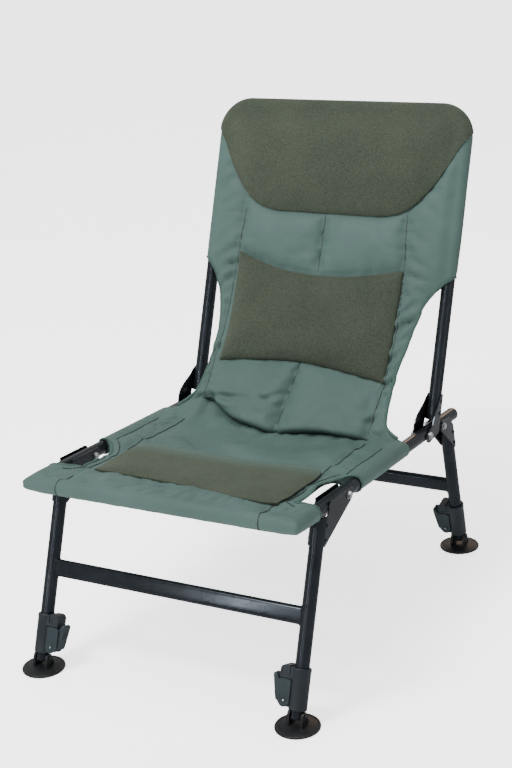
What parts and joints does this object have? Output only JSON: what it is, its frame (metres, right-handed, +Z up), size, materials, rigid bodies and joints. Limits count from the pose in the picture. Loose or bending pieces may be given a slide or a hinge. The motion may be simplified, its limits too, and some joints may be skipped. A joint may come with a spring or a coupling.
{
  "type": "folding fishing chair",
  "caption": "Low folding bankside chair: fabric seat and reclined back on tubular frames, padded, with folding telescopic legs, cam locks and swivelling mud feet.",
  "frame": {"origin": "on the ground under the middle of the bounding box of the opened chair", "axes": "+Z up, -Y the way the sitter faces, +X to the sitter's left"},
  "size_m": [0.53, 0.7824, 0.7864],
  "materials": {
    "powder_coat": "gloss black powder coat",
    "plastic": "fine grained dark slate",
    "zinc": "bright zinc plate",
    "canvas": "satin woven polyester, grey green",
    "fleece": "brushed fleece, olive"
  },
  "bodies": {
    "seat_frame": {"seat_tube": "powder_coat", "rail_cap_left": "plastic", "rail_cap_right": "plastic", "front_pivot_bolt_left": "zinc", "front_pivot_nut_left": "zinc", "back_pivot_bolt_left": "zinc", "back_pivot_nut_left": "zinc", "rear_pivot_bolt_left": "zinc", "rear_pivot_nut_left": "zinc", "front_pivot_bolt_right": "zinc", "front_pivot_nut_right": "zinc", "back_pivot_bolt_right": "zinc", "back_pivot_nut_right": "zinc", "rear_pivot_bolt_right": "zinc", "rear_pivot_nut_right": "zinc", "seat_cover": "canvas", "seat_pad": "fleece"},
    "front_legs": {"front_leg_tube_left": "powder_coat", "front_leg_bracket_left": "powder_coat", "front_lock_housing_left": "plastic", "front_lever_pin_left": "zinc", "front_leg_tube_right": "powder_coat", "front_leg_bracket_right": "powder_coat", "front_lock_housing_right": "plastic", "front_lever_pin_right": "zinc", "front_crossbar": "powder_coat"},
    "rear_legs": {"rear_leg_tube_left": "powder_coat", "rear_leg_bracket_left": "powder_coat", "rear_lock_housing_left": "plastic", "rear_lever_pin_left": "zinc", "rear_leg_tube_right": "powder_coat", "rear_leg_bracket_right": "powder_coat", "rear_lock_housing_right": "plastic", "rear_lever_pin_right": "zinc", "rear_crossbar": "powder_coat"},
    "backrest": {"back_tube": "powder_coat", "back_bracket_left": "powder_coat", "back_bracket_right": "powder_coat", "back_cover": "canvas", "lower_back_panel": "canvas", "lumbar_pad": "fleece", "head_pad": "fleece"},
    "front_left_slider": {"front_inner_tube_left": "powder_coat", "front_foot_pin_left": "powder_coat"},
    "front_left_foot_plate": {"front_foot_left": "plastic"},
    "front_left_lever": {"front_lock_lever_left": "plastic"},
    "front_right_slider": {"front_inner_tube_right": "powder_coat", "front_foot_pin_right": "powder_coat"},
    "front_right_foot_plate": {"front_foot_right": "plastic"},
    "front_right_lever": {"front_lock_lever_right": "plastic"},
    "rear_left_slider": {"rear_inner_tube_left": "powder_coat", "rear_foot_pin_left": "powder_coat"},
    "rear_left_foot_plate": {"rear_foot_left": "plastic"},
    "rear_left_lever": {"rear_lock_lever_left": "plastic"},
    "rear_right_slider": {"rear_inner_tube_right": "powder_coat", "rear_foot_pin_right": "powder_coat"},
    "rear_right_foot_plate": {"rear_foot_right": "plastic"},
    "rear_right_lever": {"rear_lock_lever_right": "plastic"}
  },
  "joints": [
    {"name": "front_leg_fold", "type": "hinge", "parent": "seat_frame", "child": "front_legs", "pos_m": [0, -0.17474, 0.30165], "axis": [1, 0, 0], "range_deg": [0, 80]},
    {"name": "rear_leg_fold", "type": "hinge", "parent": "seat_frame", "child": "rear_legs", "pos_m": [0, 0.20105, 0.27141], "axis": [-1, 0, 0], "range_deg": [0, 99]},
    {"name": "back_fold", "type": "hinge", "parent": "seat_frame", "child": "backrest", "pos_m": [0, 0.14124, 0.27623], "axis": [1, 0, 0], "range_deg": [0, 102], "deforming": ["lower_back_panel", "lumbar_pad"]},
    {"name": "front_left_extension", "type": "slide", "parent": "front_legs", "child": "front_left_slider", "axis": [0, 0.3665, 0.9304], "range_m": [-0.09, 0]},
    {"name": "front_left_lock", "type": "hinge", "parent": "front_legs", "child": "front_left_lever", "pos_m": [0.21, -0.34913, 0.03908], "axis": [0, -0.9304, 0.3665], "range_deg": [0, 95]},
    {"name": "front_left_foot_swivel", "type": "hinge", "parent": "front_left_slider", "child": "front_left_foot_plate", "pos_m": [0.23, -0.35625, 0.021], "axis": [1, 0, 0], "range_deg": [-25, 25]},
    {"name": "front_right_extension", "type": "slide", "parent": "front_legs", "child": "front_right_slider", "axis": [0, 0.3665, 0.9304], "range_m": [-0.09, 0]},
    {"name": "front_right_lock", "type": "hinge", "parent": "front_legs", "child": "front_right_lever", "pos_m": [-0.21, -0.34913, 0.03908], "axis": [0, 0.9304, -0.3665], "range_deg": [0, 95]},
    {"name": "front_right_foot_swivel", "type": "hinge", "parent": "front_right_slider", "child": "front_right_foot_plate", "pos_m": [-0.23, -0.35625, 0.021], "axis": [1, 0, 0], "range_deg": [-25, 25]},
    {"name": "rear_left_extension", "type": "slide", "parent": "rear_legs", "child": "rear_left_slider", "axis": [0, -0.2079, 0.9781], "range_m": [-0.09, 0]},
    {"name": "rear_left_lock", "type": "hinge", "parent": "rear_legs", "child": "rear_left_lever", "pos_m": [0.21, 0.28919, 0.04108], "axis": [0, -0.9781, -0.2079], "range_deg": [0, 95]},
    {"name": "rear_left_foot_swivel", "type": "hinge", "parent": "rear_left_slider", "child": "rear_left_foot_plate", "pos_m": [0.23, 0.29346, 0.021], "axis": [1, 0, 0], "range_deg": [-25, 25]},
    {"name": "rear_right_extension", "type": "slide", "parent": "rear_legs", "child": "rear_right_slider", "axis": [0, -0.2079, 0.9781], "range_m": [-0.09, 0]},
    {"name": "rear_right_lock", "type": "hinge", "parent": "rear_legs", "child": "rear_right_lever", "pos_m": [-0.21, 0.28919, 0.04108], "axis": [0, 0.9781, 0.2079], "range_deg": [0, 95]},
    {"name": "rear_right_foot_swivel", "type": "hinge", "parent": "rear_right_slider", "child": "rear_right_foot_plate", "pos_m": [-0.23, 0.29346, 0.021], "axis": [1, 0, 0], "range_deg": [-25, 25]}
  ]
}
